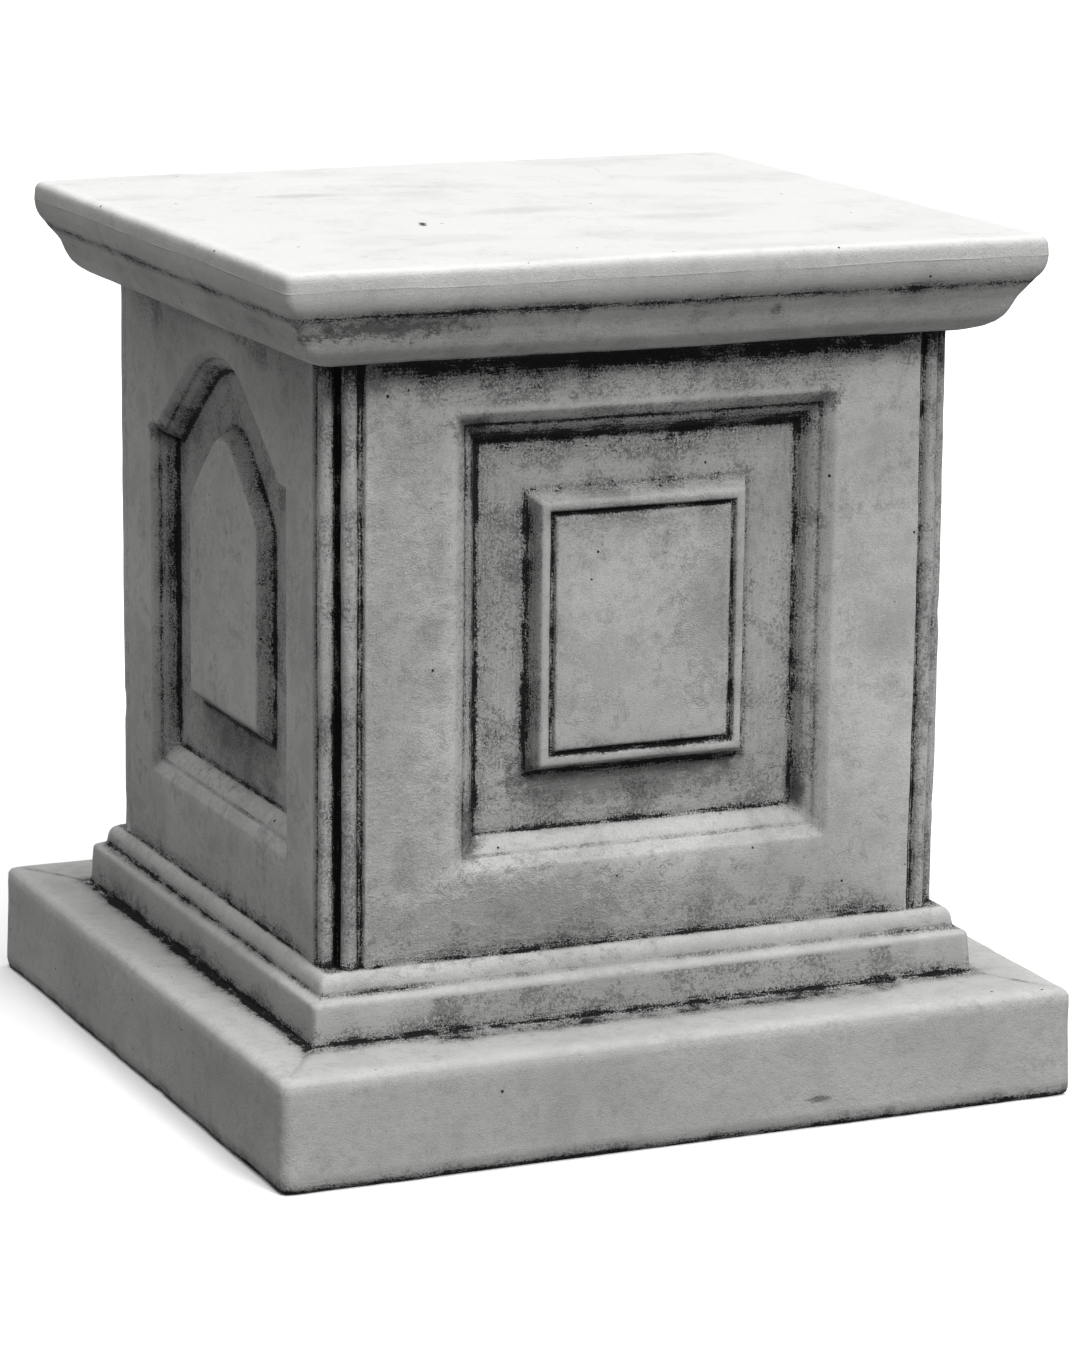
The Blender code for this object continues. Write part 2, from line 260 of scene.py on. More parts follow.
print("Points in a ring:", RING_POINTS)

# %% [markdown]
# ## Plinth and base
# The plinth is a plain slab with rubbed-down arrises; its underside edge was cut ragged with a trowel. On
# it stands the base moulding: a slightly battered band, a fine groove, and a rounded step that dies into
# the die.

# %% Plinth
plinth_line = fair(np.vstack([
    stained([(-7.0, 0.0), (-1.6, 0.0), (-0.5, 1.0)], 1.0),
    stained([(-0.1, 2.4)], 0.7),
    stained([(0.0, 4.2)], 0.22),
    stained([(0.0, 8.0), (-0.6, 30.0)], 0.08),
    stained(arc((-5.0, 45.6), (4.4, 4.4), 0, 90, 7), 0.0),
]), 0.45, 15)
plinth = rise(plinth_line, PLINTH_HALF, PLINTH_HALF, PLINTH_RADIUS)

# %% Base moulding, from its foot on the plinth to the foot of the die
base_line = fair(np.vstack([
    stained([(13.5, 50.0), (12.2, 50.1)], 0.6),
    stained([(11.4, 50.7)], 1.0),
    stained([(11.1, 52.4)], 0.62),
    stained([(10.9, 55.0)], 0.34),
    stained([(10.2, 65.8)], 0.10),
    stained(arc((7.4, 66.7), (2.8, 2.6), 5, 75, 5), 0.0),
    stained([(6.2, 70.0)], 0.25),
    stained([(5.2, 70.5)], 0.80),
    stained([(4.9, 71.3)], 0.5),
    stained([(4.8, 72.6)], 0.12),
    stained(arc((0.0, 72.6), (4.7, 6.6), 8, 84, 7), 0.0),
    stained([(0.0, DIE_FOOT)], 0.7),
]), 0.36, 25)
base = rise(base_line, DIE_HALF_X, DIE_HALF_Y, BASE_RADIUS)

# %% Stain on the base: the groove is cleaner in front, the band dirtier, and the left foot black with painted shadow
BASE_FOOT, BASE_BAND, BASE_GROOVE = slice(0, 4), slice(6, 11), slice(14, 20)
FRONT_POINTS = slice(6, ACROSS - 2)
LEFT_POINTS = slice(3 * RING_STEP - 12, RING_POINTS - CORNER_POINTS // 2)
FRONT_GROOVE_KEEP = 0.5
FRONT_BAND_STAIN = 0.38
LEFT_GROOVE_MORE = 0.4
base[BASE_GROOVE, FRONT_POINTS, STAIN] *= FRONT_GROOVE_KEEP
base[BASE_BAND, FRONT_POINTS, STAIN] = np.maximum(base[BASE_BAND, FRONT_POINTS, STAIN], FRONT_BAND_STAIN)
# Painted shadow: a black line along the foot of the left face
base[BASE_FOOT, LEFT_POINTS, STAIN] = 1.0
back_to_front = np.linspace(1, -0.4, LEFT_POINTS.stop - LEFT_POINTS.start)
base[BASE_GROOVE, LEFT_POINTS, STAIN] += LEFT_GROOVE_MORE * back_to_front

# %% The plinth's flat top, between its rounded edge and the foot of the base
TREAD_LEVELS = 5
TREAD_STAIN, TREAD_FOOT_STAIN = 0.06, 0.14
FRONT_TREAD_STAINS = (0.70, 0.26)
LEFT_TREAD_STAIN = 0.30
MITRE_TREAD_STAIN, MITRE_BASE_STAIN = 0.35, 0.20
MITRE_BASE = slice(3, 18)


def blend(first, last, count):
    """Surfaces between two curves: each is first + (last - first) times an even share, ends left out."""
    share = np.linspace(0, 1, count + 2)[1:-1, None, None]
    return first + (last - first) * share


tread = blend(plinth[-1], base[0], TREAD_LEVELS)
tread[:, :, STAIN] = TREAD_STAIN + TREAD_FOOT_STAIN * np.linspace(0, 1, TREAD_LEVELS)[:, None] ** 3
tread[-1, FRONT_POINTS, STAIN], tread[-2, FRONT_POINTS, STAIN] = FRONT_TREAD_STAINS
tread[-1, LEFT_POINTS, STAIN] = LEFT_TREAD_STAIN
for begin in corner_starts:
    mitre = (begin + CORNER_POINTS // 2) % RING_POINTS
    tread[:, mitre, STAIN] += MITRE_TREAD_STAIN
    base[MITRE_BASE, mitre, STAIN] += MITRE_BASE_STAIN
print("Plinth, tread and base levels:", len(plinth), len(tread), len(base))

# %% [markdown]
# ## Cap
# From the die outwards: a flat soffit, a soft roll, a hollow in which the stain lies, a tight undercut, and a
# fat rounded edge. A fine raised line wanders round the middle of the edge, where the two halves of the mould
# met and mix squeezed into the joint.

# %% Cap
SEAM_LEVEL = 377.9
cap_line = fair(np.vstack([
    # Soffit rows by the die: stain and painted shadow under the cap
    stained([(0.0, SOFFIT), (1.5, SOFFIT + 0.2)], 1.0),
    stained([(3.6, SOFFIT + 0.7)], 0.5),
    stained([(9.4, SOFFIT + 2.6), (13.4, SOFFIT + 5.1)], 0.20),
    stained([(16.3, SOFFIT + 8.1), (18.0, SOFFIT + 11.3)], 0.16),
    stained([(18.9, 355.1)], 0.26),
    stained([(20.2, 358.2), (22.2, 361.2)], 0.22),
    stained([(23.4, 363.0)], 0.30),
    stained([(24.4, 364.6)], 0.85),
    stained([(25.4, 366.0), (25.7, 366.6)], 1.0),
    stained(arc((22.8, SEAM_LEVEL), (7.0, 12.0), -60, -50, 2), 0.20),
    stained(arc((22.8, SEAM_LEVEL), (7.0, 12.0), -44, 0, 7), 0.07),
    stained([(29.8, SEAM_LEVEL + 1.0), (29.7, SEAM_LEVEL + 2.8)], 0.0),
    stained(arc((25.2, HEIGHT - 4.2), (4.4, 4.2), 10, 90, 8), 0.0),
    stained([(19.0, HEIGHT)], 0.0),
]), 0.34, 36)

# %% The raised seam round the cap's edge: it wanders up and down, and here and there it fades
SEAM_GAP = 1.1
SEAM_RIDGE = 2
SEAM_WAVES = 12
LEFT_CAP_KEEP = 0.88
MOST_FADED = 0.8
# The row just below the ridge holds some stain: a painted shadow line under the seam
seam = np.array([(29.78, -0.6, 0.07), (29.80, -0.3, 0.30), (30.0, 0.0, 0.0), (29.82, 0.3, 0.0),
                 (29.80, 0.6, 0.0)])
seam[:, 1] += SEAM_LEVEL
keep = (np.abs(cap_line[:, 1] - SEAM_LEVEL) > SEAM_GAP)
first = int((cap_line[keep, 1] < SEAM_LEVEL).sum())
cap_line = np.insert(cap_line[keep], first, seam, axis=0)
cap = rise(cap_line, DIE_HALF_X, DIE_HALF_Y, CAP_RADIUS)
cap[:, 3 * RING_STEP:, STAIN] *= LEFT_CAP_KEEP
seam_plan = cap[first, :, :2]
wander = 0.3 * waves(seam_plan, 70.0, SEAM_WAVES) + 0.12 * waves(seam_plan, 14.0, SEAM_WAVES)
cap[first:first + len(seam), :, 2] += wander
faded = np.clip(0.5 + 0.5 * waves(seam_plan, 45.0, SEAM_WAVES), 0, MOST_FADED)[:, None]
cap[first + SEAM_RIDGE, :, :2] += (seam_plan - cap[first + SEAM_RIDGE, :, :2]) * faded
print("Cap levels:", len(cap))

# %% [markdown]
# ## Reeded corners
# The corner's outline is carried straight up the die. The stain lies in the grooves and at the foot; under
# the cap the darkening is stain and painted shadow together. The last points of the far left corner stay
# clean, since they are all that is seen of it.

# %% Corners of the die
FOOT_DARK, FOOT_FADE = 0.5, 3.0
# Under the cap the corner is darkened with stain and painted shadow
CAP_STAIN_AND_SHADOW, CAP_FADE = 0.6, 8.0
CLEAN_CORNER, CLEAN_POINTS = 2, 9
die_heights = np.linspace(DIE_FOOT, SOFFIT, DIE_LEVELS)
die_ring = ring(DIE_HALF_X, DIE_HALF_Y, LEAST_RADIUS, reeded=True)
foot_dark = FOOT_DARK * np.exp(-(die_heights - DIE_FOOT) / FOOT_FADE)
ends_stain_and_shadow = foot_dark + CAP_STAIN_AND_SHADOW * np.exp(-(SOFFIT - die_heights) / CAP_FADE)
strips = []
for begin in corner_starts:
    strip = np.empty((DIE_LEVELS, CORNER_POINTS, UPRIGHT + 1))
    strip[:, :, :2] = die_ring[(begin + np.arange(CORNER_POINTS)) % RING_POINTS]
    strip[:, :, 2] = die_heights[:, None]
    strip[:, :, STAIN] = np.clip(corner[:, 2] + ends_stain_and_shadow[:, None], 0, 1)
    strip[:, :, UPRIGHT] = 1.0
    strips.append(strip)
strips[CLEAN_CORNER][:, -CLEAN_POINTS:, STAIN] = 0.0

# %% [markdown]
# ## Sunk panels
# Each face of the die is one patch made of nested loops, like the contour lines of a dish: the face's own
# border, the edge of the panel, the panel's moulding, the sunk ground, and the raised block in the middle.
# All loops have the same number of points, so neighbours join into a clean grid that follows every moulding.
# The field of the block is closed with a surface stretched between its four sides.

# %% Outlines drawn in from an edge
PARALLEL = 0.01
CROWN_POINTS = 90
EASE_REACH, EASE_ROUNDS, EASE_PULL = 7, 14, 0.8


def inset(outline, distances):
    """Each edge of a closed anticlockwise outline moved in by its own distance, with mitred corners.

    A corner lands where its two moved edges cross; where they run nearly parallel it moves by their mean.
    """
    here = np.asarray(outline, float)
    after = np.roll(here, -1, 0) - here
    normal = np.stack([-after[:, 1], after[:, 0]], 1) / np.hypot(*after.T)[:, None]
    d2 = np.broadcast_to(np.asarray(distances, float), len(here))
    d1 = np.roll(d2, 1)
    n1 = np.roll(normal, 1, 0)
    cross = n1[:, 0] * normal[:, 1] - n1[:, 1] * normal[:, 0]
    straight = np.abs(cross) < PARALLEL
    crossing = np.stack([d1 * normal[:, 1] - d2 * n1[:, 1], d2 * n1[:, 0] - d1 * normal[:, 0]], 1)
    mitre = crossing / np.where(straight, 1.0, cross)[:, None]
    mean = (d1[:, None] * n1 + d2[:, None] * normal) / 2
    return here + np.where(straight[:, None], mean, mitre)


def side_points(outline, breaks):
    """Points along the four sides of an outline: each side is read at even shares of its own vertices."""
    closed = np.vstack([outline, outline[:1]])
    points = []
    counts = (FACE_POINTS, DIE_LEVELS, FACE_POINTS, DIE_LEVELS)
    for first, last, number in zip(breaks, [*breaks[1:], len(outline)], counts):
        side = closed[first:last + 1]
        at = np.linspace(0, len(side) - 1, number)[:-1]
        points.append(np.stack([np.interp(at, np.arange(len(side)), column) for column in side.T], 1))
    return np.vstack(points)


def rectangle(half, low, high):
    """The four corners, anticlockwise from the bottom left."""
    return np.array([(-half, low), (half, low), (half, high), (-half, high)], float)


def even_line(line, count):
    """Points at equal steps along a line."""
    length = np.r_[0, np.cumsum(np.hypot(*np.diff(line, axis=0).T))]
    at = np.linspace(0, length[-1], count)
    return np.stack([np.interp(at, length, column) for column in line.T], 1)


def arch(half, low, spring, foot, apex, crown, shoulder_points):
    """Sill, jambs and a pointed arch with a rounded crown; the shoulder is the ledge from jamb to foot.

    Straight flanks leave the feet and touch the crown circle: a flank's slope is the slope of the line to the
    circle's centre plus the angle whose sine is radius over distance.
    """
    middle = apex - crown
    reach = math.hypot(foot, middle - spring)
    flank = math.atan2(middle - spring, foot) + math.asin(crown / reach)
    touch = 90 - math.degrees(flank)
    top = arc((0, middle), (crown, crown), touch, 180 - touch, CROWN_POINTS)
    bow = np.vstack([(foot, spring), top, (-foot, spring)])
    bow = even_line(bow, FACE_POINTS - 2 * shoulder_points)
    ledge = np.linspace(half, foot, shoulder_points, endpoint=False)
    ledge = np.column_stack([ledge, np.full(shoulder_points, spring)])
    head = np.vstack([ledge, bow, (ledge * (-1, 1))[::-1]])
    return np.vstack([(-half, low), (half, low), head])


def ease(points):
    """Round the two corners between jambs and head: near them each point drifts to its neighbours' mean."""
    place = np.arange(len(points))
    near = np.minimum(np.abs(place - (ACROSS + UP)), np.abs(place - (2 * ACROSS + UP)))
    pull = np.clip(1 - near / EASE_REACH, 0, 1)[:, None]
    for _ in range(EASE_ROUNDS):
        mean = (np.roll(points, 1, 0) + np.roll(points, -1, 0)) / 2
        points = points + (mean - points) * pull * EASE_PULL
    return points


# %% Mouldings, as (distance in from the edge, depth, stain)
PANEL_RUN, PANEL_DEPTH = 14.0, 12.5
panel_line = fair(np.array([
    (-1.4, 0.0, 0.12), (0.0, 0.05, 0.20), (4.9, 3.4, 0.38), (5.4, 3.9, 0.80), (5.7, 4.6, 0.70),
    (7.2, 5.2, 0.42), (9.6, 6.9, 0.50), (10.3, 7.6, 0.72), (10.9, 8.5, 0.62), (12.0, 10.4, 0.66),
    (13.0, 11.9, 0.95), (PANEL_RUN, PANEL_DEPTH, 1.0)]), 0.40, 20)
panel_run = np.minimum(panel_line[:, 0] / PANEL_RUN, 1)
panel_depth = panel_line[:, 1] / PANEL_DEPTH
block_line = fair(np.array([
    (-1.2, PANEL_DEPTH, 0.9), (0.0, 12.2, 0.95), (0.7, 11.0, 0.62), (3.2, 4.6, 0.50), (4.2, 3.7, 0.15),
    (7.2, 3.6, 0.25), (7.8, 4.0, 0.6), (8.5, 5.6, 0.95), (9.7, 5.6, 0.90), (10.3, 3.8, 0.5),
    (11.6, 3.5, 0.3)]), 0.28, 19)
SIDE_DEPTH = 11.0
lancet_line = fair(np.array([
    (-5.2, SIDE_DEPTH, 0.9), (-4.2, 10.6, 0.95), (-3.7, 9.6, 0.62), (-0.5, 3.9, 0.48), (0.5, 3.0, 0.05),
    (1.8, 2.9, 0.12)]), 0.42, 12)
print("Moulding, block and lancet levels:", len(panel_line), len(block_line), len(lancet_line))

# %% Stain round a panel, with painted shade under the cap and on the sides that face down
EDGE = 1.3
EDGE_STAIN, EDGE_FOOT_STAIN = 0.2, 0.62
# Top margin rows under the cap are stain and painted shadow together: dark on the front and back, light on
# the sides
MARGIN_TOP_WASH_AND_SHADOW = (1.0, 0.66, 0.52, 0.48, 0.44, 0.38)
MARGIN_FOOT = (0.34, 0.30, 0.26, 0.24, 0.20, 0.14)
GROUND_STEPS = ((0.8, 0.70), (2.2, 0.46), (7.0, 0.38))
BLOCK_GROUND_KEEP = 0.7
EASE_FROM = 1
MIDDLE_LOOPS = 3
GROOVE_FROM = 5
CREASE_RUN, CREASE_STAIN = 0.93, 0.8
STEP_RUN, STEP_STAIN = (0.36, 0.44), 0.6
HEAD_UPRIGHT, MARGIN_UPRIGHT, FIELD_UPRIGHT = 0.3, 0.5, 0.4
FIELD_FADE = 12.0
SIDE_BLUR = 3


# %% One patch from its loops
def by_side(values):
    """A value for each of the four sides, bottom, right, top, left, softened round the corners."""
    line = np.repeat(values, (ACROSS, UP, ACROSS, UP)).astype(float)
    padded = np.r_[line[-SIDE_BLUR:], line, line[:SIDE_BLUR]]
    width = 2 * SIDE_BLUR + 1
    return np.convolve(padded, np.full(width, 1 / width), "valid")


def loop(outline, breaks, depth, stain, upright, eased=False):
    """One loop of the patch: (along, height, depth, stain, upright) for each point."""
    points = side_points(outline, breaks)
    if eased:
        points = ease(points)
    notes = np.stack(np.broadcast_arrays(np.full(len(points), float(depth)), stain, upright), 1)
    return np.column_stack([points, notes])


def field(border):
    """A patch stretched between four sides of a closed loop.

    Each point is the sum of the pulls of both pairs of opposite sides, minus the pull of the four corners,
    which that counts twice. The stain fades with the distance to the nearest side.
    """
    bottom = border[:ACROSS + 1]
    right = border[ACROSS:ACROSS + UP + 1]
    top = border[ACROSS + UP:2 * ACROSS + UP + 1][::-1]
    left = np.vstack([border[2 * ACROSS + UP:], border[:1]])[::-1]
    s = np.linspace(0, 1, ACROSS + 1)[None, :, None]
    t = np.linspace(0, 1, UP + 1)[:, None, None]
    sides = (1 - t) * bottom[None] + t * top[None] + (1 - s) * left[:, None] + s * right[:, None]
    low_corners = (1 - s) * (1 - t) * bottom[0] + s * (1 - t) * bottom[-1]
    patch = sides - (low_corners + (1 - s) * t * top[0] + s * t * top[-1])
    wide, tall = np.ptp(border[:, 0]), np.ptp(border[:, 1])
    gaps = [t[..., 0] * tall, (1 - t[..., 0]) * tall, s[..., 0] * wide, (1 - s[..., 0]) * wide]
    marks = [bottom[None, :, STAIN], top[None, :, STAIN], left[:, None, STAIN], right[:, None, STAIN]]
    whole = (UP + 1, ACROSS + 1)
    pulls = [np.broadcast_to(np.exp(-gap / FIELD_FADE) * mark, whole) for gap, mark in zip(gaps, marks)]
    patch[:, :, STAIN] = np.max(pulls, axis=0)
    patch[:, :, UPRIGHT] = FIELD_UPRIGHT
    return patch


# The stain given to each side of a moulding carries painted shade as well
def kept(run, side_stain_and_shade):
    """How much stain a moulding keeps: its crease and its fine step hold some even on a clean side."""
    if run > CREASE_RUN:
        return np.maximum(side_stain_and_shade, CREASE_STAIN)
    if STEP_RUN[0] < run < STEP_RUN[1]:
        return np.maximum(side_stain_and_shade, STEP_STAIN)
    return side_stain_and_shade


def face_patch(turn, outline, runs, depth, block, profile, bevels, margins, stain_and_shade_by_side, eased):
    """Loops from the border of the face to the rim of its block, and the field inside them.

    margins holds the stain of the plain margins: bottom, right, top, left; the top one, under the cap, is
    stain and painted shadow together. stain_and_shade_by_side holds, for the moulding, the block's bevel and
    its groove, how much stain each side gets, in the same order; the sides that face down or lie in shade get
    more of it, as painted shade.
    """
    along = face_places(turn)[-1]
    plain, upright = (0, 1, 2, 3), by_side((0, 1, HEAD_UPRIGHT, 1))
    frame_stain_and_shade, bevel_stain_and_shade, groove_stain_and_shade = [by_side(lean) for lean in stain_and_shade_by_side]
    breaks = (0, 1, 2, len(outline) - 1)
    block_breaks = (0, 1, 2, len(block) - 1)
    foot_keep, right_keep, cap_wash_and_shadow, left_keep = margins
    border = loop(rectangle(along, DIE_FOOT, SOFFIT), plain, 0.0,
                  by_side((1.0, EDGE_STAIN, cap_wash_and_shadow, EDGE_STAIN)), upright)
    edge = loop(rectangle(along - EDGE, DIE_FOOT + EDGE, SOFFIT - EDGE), plain, 0.0,
                by_side((EDGE_FOOT_STAIN, right_keep, cap_wash_and_shadow, left_keep)), upright)
    crease_stain_and_shade = kept(1.0, frame_stain_and_shade)
    moulding = [loop(inset(outline, run * runs), breaks, deep * depth,
                     np.clip(stain * kept(run, frame_stain_and_shade), 0, 1), upright)
                for run, deep, stain in zip(panel_run, panel_depth, panel_line[:, 2])]
    raised = [loop(inset(block, out * bevels), block_breaks, deep,
                   np.clip(stain * (groove_stain_and_shade if out > GROOVE_FROM else bevel_stain_and_shade), 0, 1), upright, eased)
              for out, deep, stain in profile]
    margin = blend(edge, moulding[0], len(MARGIN_TOP_WASH_AND_SHADOW))
    margin[:, :, STAIN] = [by_side((low * foot_keep, right_keep, high * cap_wash_and_shadow, left_keep))
                           for low, high in zip(MARGIN_FOOT, MARGIN_TOP_WASH_AND_SHADOW)]
    margin[:, :, UPRIGHT] *= MARGIN_UPRIGHT
    near = [loop(inset(outline, runs + away), breaks, depth, mark * crease_stain_and_shade, upright,
                 eased and away > EASE_FROM) for away, mark in GROUND_STEPS]
    foot = profile[0, 0]
    block_foot_stain_and_shade = np.maximum(bevel_stain_and_shade, BLOCK_GROUND_KEEP)
    far = [loop(inset(block, foot * bevels - away), block_breaks, depth, mark * block_foot_stain_and_shade, upright, eased)
           for away, mark in GROUND_STEPS[::-1]]
    middle = blend(near[-1], far[0], MIDDLE_LOOPS)
    loops = np.array([border, edge, *margin, *moulding, *near, *middle, *far, *raised])
    return loops, field(raised[-1])


def stand(patch, turn):
    """Turn (along, height, depth, stain, upright) into (x, y, z, stain, upright) on one side of the die."""
    along, out = SIDES[turn]
    away = half_sizes(turn, DIE_HALF_X, DIE_HALF_Y)[1] - patch[..., 2]
    return np.stack([patch[..., 0] * along[0] + away * out[0], patch[..., 0] * along[1] + away * out[1],
                     patch[..., 1], patch[..., STAIN], patch[..., UPRIGHT]], -1)


# %% Front and back: a rectangle with a raised block, rim and groove
FRONT_SILL = 117.5
front_outline = rectangle(half=90.0, low=FRONT_SILL, high=FRONT_SILL + 200.5)
front_block = rectangle(half=52.0, low=FRONT_SILL + 39.0, high=FRONT_SILL + 163.0)
front = face_patch(
    turn=0, outline=front_outline, runs=np.full(4, PANEL_RUN), depth=PANEL_DEPTH,
    block=front_block, profile=block_line, bevels=np.ones(4),
    # The top margin value is stain and painted shadow under the cap
    margins=(1.0, 0.08, 1.0, 0.24),
    # Stain with painted shade by side: most at the top of the moulding and on the block's lower bevel and top
    # groove, which face down
    stain_and_shade_by_side=((0.22, 0.85, 1.45, 1.20), (1.15, 0.70, 0.55, 0.95), (1.10, 0.85, 1.1, 0.90)),
    eased=False)

# %% Sides: a shouldered arch with a lancet block
SIDE_SILL = 118.0
SIDE_RUN, SHOULDER_RUN = 10.5, 7.5
SHOULDER = 3
LANCET_SILL = SIDE_SILL + 47.0
LANCET_SILL_BEVEL = 1.5
side_outline = arch(half=88.0, low=SIDE_SILL, spring=SIDE_SILL + 164.5, foot=79.5, apex=SIDE_SILL + 210.5,
                    crown=60.0, shoulder_points=SHOULDER)
side_runs = np.r_[PANEL_RUN, np.full(len(side_outline) - 1, SIDE_RUN)]
side_runs[2:2 + SHOULDER] = side_runs[-1 - SHOULDER:-1] = SHOULDER_RUN
lancet = arch(half=42.5, low=LANCET_SILL, spring=LANCET_SILL + 90.0, foot=42.5, apex=LANCET_SILL + 123.5,
              crown=18.0, shoulder_points=0)
side = face_patch(
    turn=1, outline=side_outline, runs=side_runs, depth=SIDE_DEPTH,
    block=lancet, profile=lancet_line, bevels=np.r_[LANCET_SILL_BEVEL, np.ones(len(lancet) - 1)],
    # The top margin value is stain and painted shadow under the cap, kept light on the sides
    margins=(0.6, 0.10, 0.30, 0.12),
    # Stain with painted shade by side: more where the arch's moulding and the lancet's bevels face down or
    # away from the light
    stain_and_shade_by_side=((0.15, 1.0, 1.0, 1.08), (1.0, 1.05, 0.9, 0.80), (0.9, 0.9, 0.9, 0.9)),
    eased=True)
print("Loops to a face:", len(front[0]), len(side[0]))

# %% [markdown]
# ## One skin
# All grids meet on shared points, so they are put into one mesh and their doubles merged. That gives a closed
# skin, as the casting has.

# %% Gather the grids
collected = []


def add_grid(grid, closed=False):
    """Keep a grid of points, with quads between neighbours in rows and columns."""
    rows, columns = grid.shape[:2]
    index = np.arange(rows * columns).reshape(rows, columns)
    if closed:
        index = np.hstack([index, index[:, :1]])
    quads = np.stack([index[:-1, :-1], index[:-1, 1:], index[1:, 1:], index[1:, :-1]], -1).reshape(-1, 4)
    collected.append((grid.reshape(-1, grid.shape[-1]), quads))


def on_the_die(level, stain):
    """A moulding's ring next to the die, moved onto the die's reeded plan."""
    moved_ring = level.copy()
    moved_ring[:, :2] = die_ring
    moved_ring[:, STAIN] = stain
    return moved_ring[None]


add_grid(np.concatenate([plinth, tread, base, on_the_die(base[-1], stain=0.9)]), closed=True)
# The ring where the cap meets the die is dark with stain and painted shadow in the crease under the cap
add_grid(np.concatenate([on_the_die(cap[0], stain=1.0), cap]), closed=True)
for strip in strips:
    add_grid(strip)
for turn in range(4):
    loops, middle = (front, side)[turn % 2]
    add_grid(stand(loops, turn), closed=True)
    add_grid(stand(middle, turn))

# %% Close the top and the underside with rings drawn in to a point
TOP_RINGS = 7
UNDERSIDE_RINGS = 2


def close_flat(edge, rings):
    """Draw a ring in towards its centre in even steps and end on a single point."""
    center = edge.mean(0)
    share = (1 - np.arange(rings + 1) / rings)[:, None, None]
    closing = center + (edge - center) * share
    closing[1:, :, STAIN] = 0.0
    add_grid(closing, closed=True)


close_flat(cap[-1], TOP_RINGS)
close_flat(plinth[0], UNDERSIDE_RINGS)

# %% Into one mesh
MERGE_WITHIN = 0.02 * MM
SLIVER = 0.005 * MM
starts = np.cumsum([0] + [len(points) for points, quads in collected])
all_points = np.vstack([points for points, quads in collected])
all_quads = np.vstack([quads + start for (points, quads), start in zip(collected, starts)])
mesh = bpy.data.meshes.new("cast_stone_pedestal")
mesh.from_pydata(all_points[:, :3] * MM, [], all_quads)
# The stain note carries the wash and, in some places, painted shade as well
for name, column in (("stain", STAIN), ("upright", UPRIGHT)):
    layer = mesh.attributes.new(name, "FLOAT", "POINT")
    layer.data.foreach_set("value", np.clip(all_points[:, column], 0, 1).astype(np.float32))
work = bmesh.new()
work.from_mesh(mesh)
bmesh.ops.remove_doubles(work, verts=work.verts, dist=MERGE_WITHIN)
bmesh.ops.dissolve_degenerate(work, edges=work.edges, dist=SLIVER)
bmesh.ops.recalc_face_normals(work, faces=work.faces)
open_edges = sum(not edge.is_manifold for edge in work.edges)
triangles = sum(len(face.verts) - 2 for face in work.faces)
work.to_mesh(mesh)
work.free()
pedestal = bpy.data.objects.new("cast_stone_pedestal", mesh)
bpy.context.collection.objects.link(pedestal)
print("Vertices:", len(mesh.vertices), "triangles:", triangles, "open edges:", open_edges)

# %% [markdown]
# ## Where the skin is hollow
# Dirt and wear follow the shape. If the skin is smoothed a little, hollows fill up and edges sink in, so the
# distance from each point to the smoothed skin tells how hollow or how sharp that place is.

# %% Hollows and edges, from the mesh itself
SHORTEST = 0.2
OWN_SHARE, NEIGHBOUR_SHARE = 0.3, 0.7
FINE_ROUNDS, BROAD_ROUNDS = 4, 40
WORN_AT = 0.22
count = len(mesh.vertices)


def read(data, name, width):
    """Read one value or vector for each item into an array."""
    values = np.empty(len(data) * width, np.float32)
    data.foreach_get(name, values)
    return values.reshape(-1, width).astype(float)


places = read(mesh.vertices, "co", 3) / MM
normals = read(mesh.vertex_normals, "vector", 3)
edges = np.empty(len(mesh.edges) * 2, np.int32)
mesh.edges.foreach_get("vertices", edges)
one_end, other_end = edges.reshape(-1, 2).T
weight = 1 / np.maximum(np.linalg.norm(places[one_end] - places[other_end], axis=1), SHORTEST)
total = np.bincount(one_end, weight, count) + np.bincount(other_end, weight, count)


def spread(values, rounds):
    """Let values flow along the edges: in each round a vertex takes the weighted mean of its neighbours."""
    for _ in range(rounds):
        mixed = [(np.bincount(one_end, weight * column[other_end], count)
                  + np.bincount(other_end, weight * column[one_end], count)) / total for column in values.T]
        values = OWN_SHARE * values + NEIGHBOUR_SHARE * np.stack(mixed, 1)
    return values


def hollowness(rounds):
    """How far the smoothed skin stands proud of the real one: above zero in a hollow, below on an edge."""
    return ((spread(places, rounds) - places) * normals).sum(1)


fine = hollowness(FINE_ROUNDS)
broad = hollowness(BROAD_ROUNDS)
edge_wear = np.clip(-fine / WORN_AT, 0, 1)
for name, values in (("fine", fine), ("broad", broad)):
    print("Hollows,", name, "mm:", np.percentile(values, (2, 98)).round(2))

# %% Move the skin: waves as (wavelength, number of waves, height), chips on edges and a ragged foot
UNEVEN = ((120.0, 14, 0.35), (32.0, 24, 0.14), (17.0, 36, 0.03))
SINK = 0.3
CHIP_FROM, CHIP_DEPTH = 0.9, 0.7
FOOT_REACH, STEEP = 3.0, 0.8
RAGGED_DEPTH, RAGGED_MOST = 1.2, 1.3
FACING_DOWN, UNDERSIDE = -0.9, 0.5
uneven = sum(waves(places, length, number) * height for length, number, height in UNEVEN)
chips = np.clip(waves(places, 24.0, 40) - CHIP_FROM, 0, 1) * edge_wear * CHIP_DEPTH
low_edge = np.clip(1 - places[:, 2] / FOOT_REACH, 0, 1) * (np.abs(normals[:, 2]) < STEEP)
torn = 0.3 + 0.5 * waves(places, 45.0, 20) + 0.35 * waves(places, 14.0, 30)
ragged = low_edge * np.clip(torn, 0, RAGGED_MOST)
moved = places + normals * (uneven - SINK - chips - RAGGED_DEPTH * ragged)[:, None]
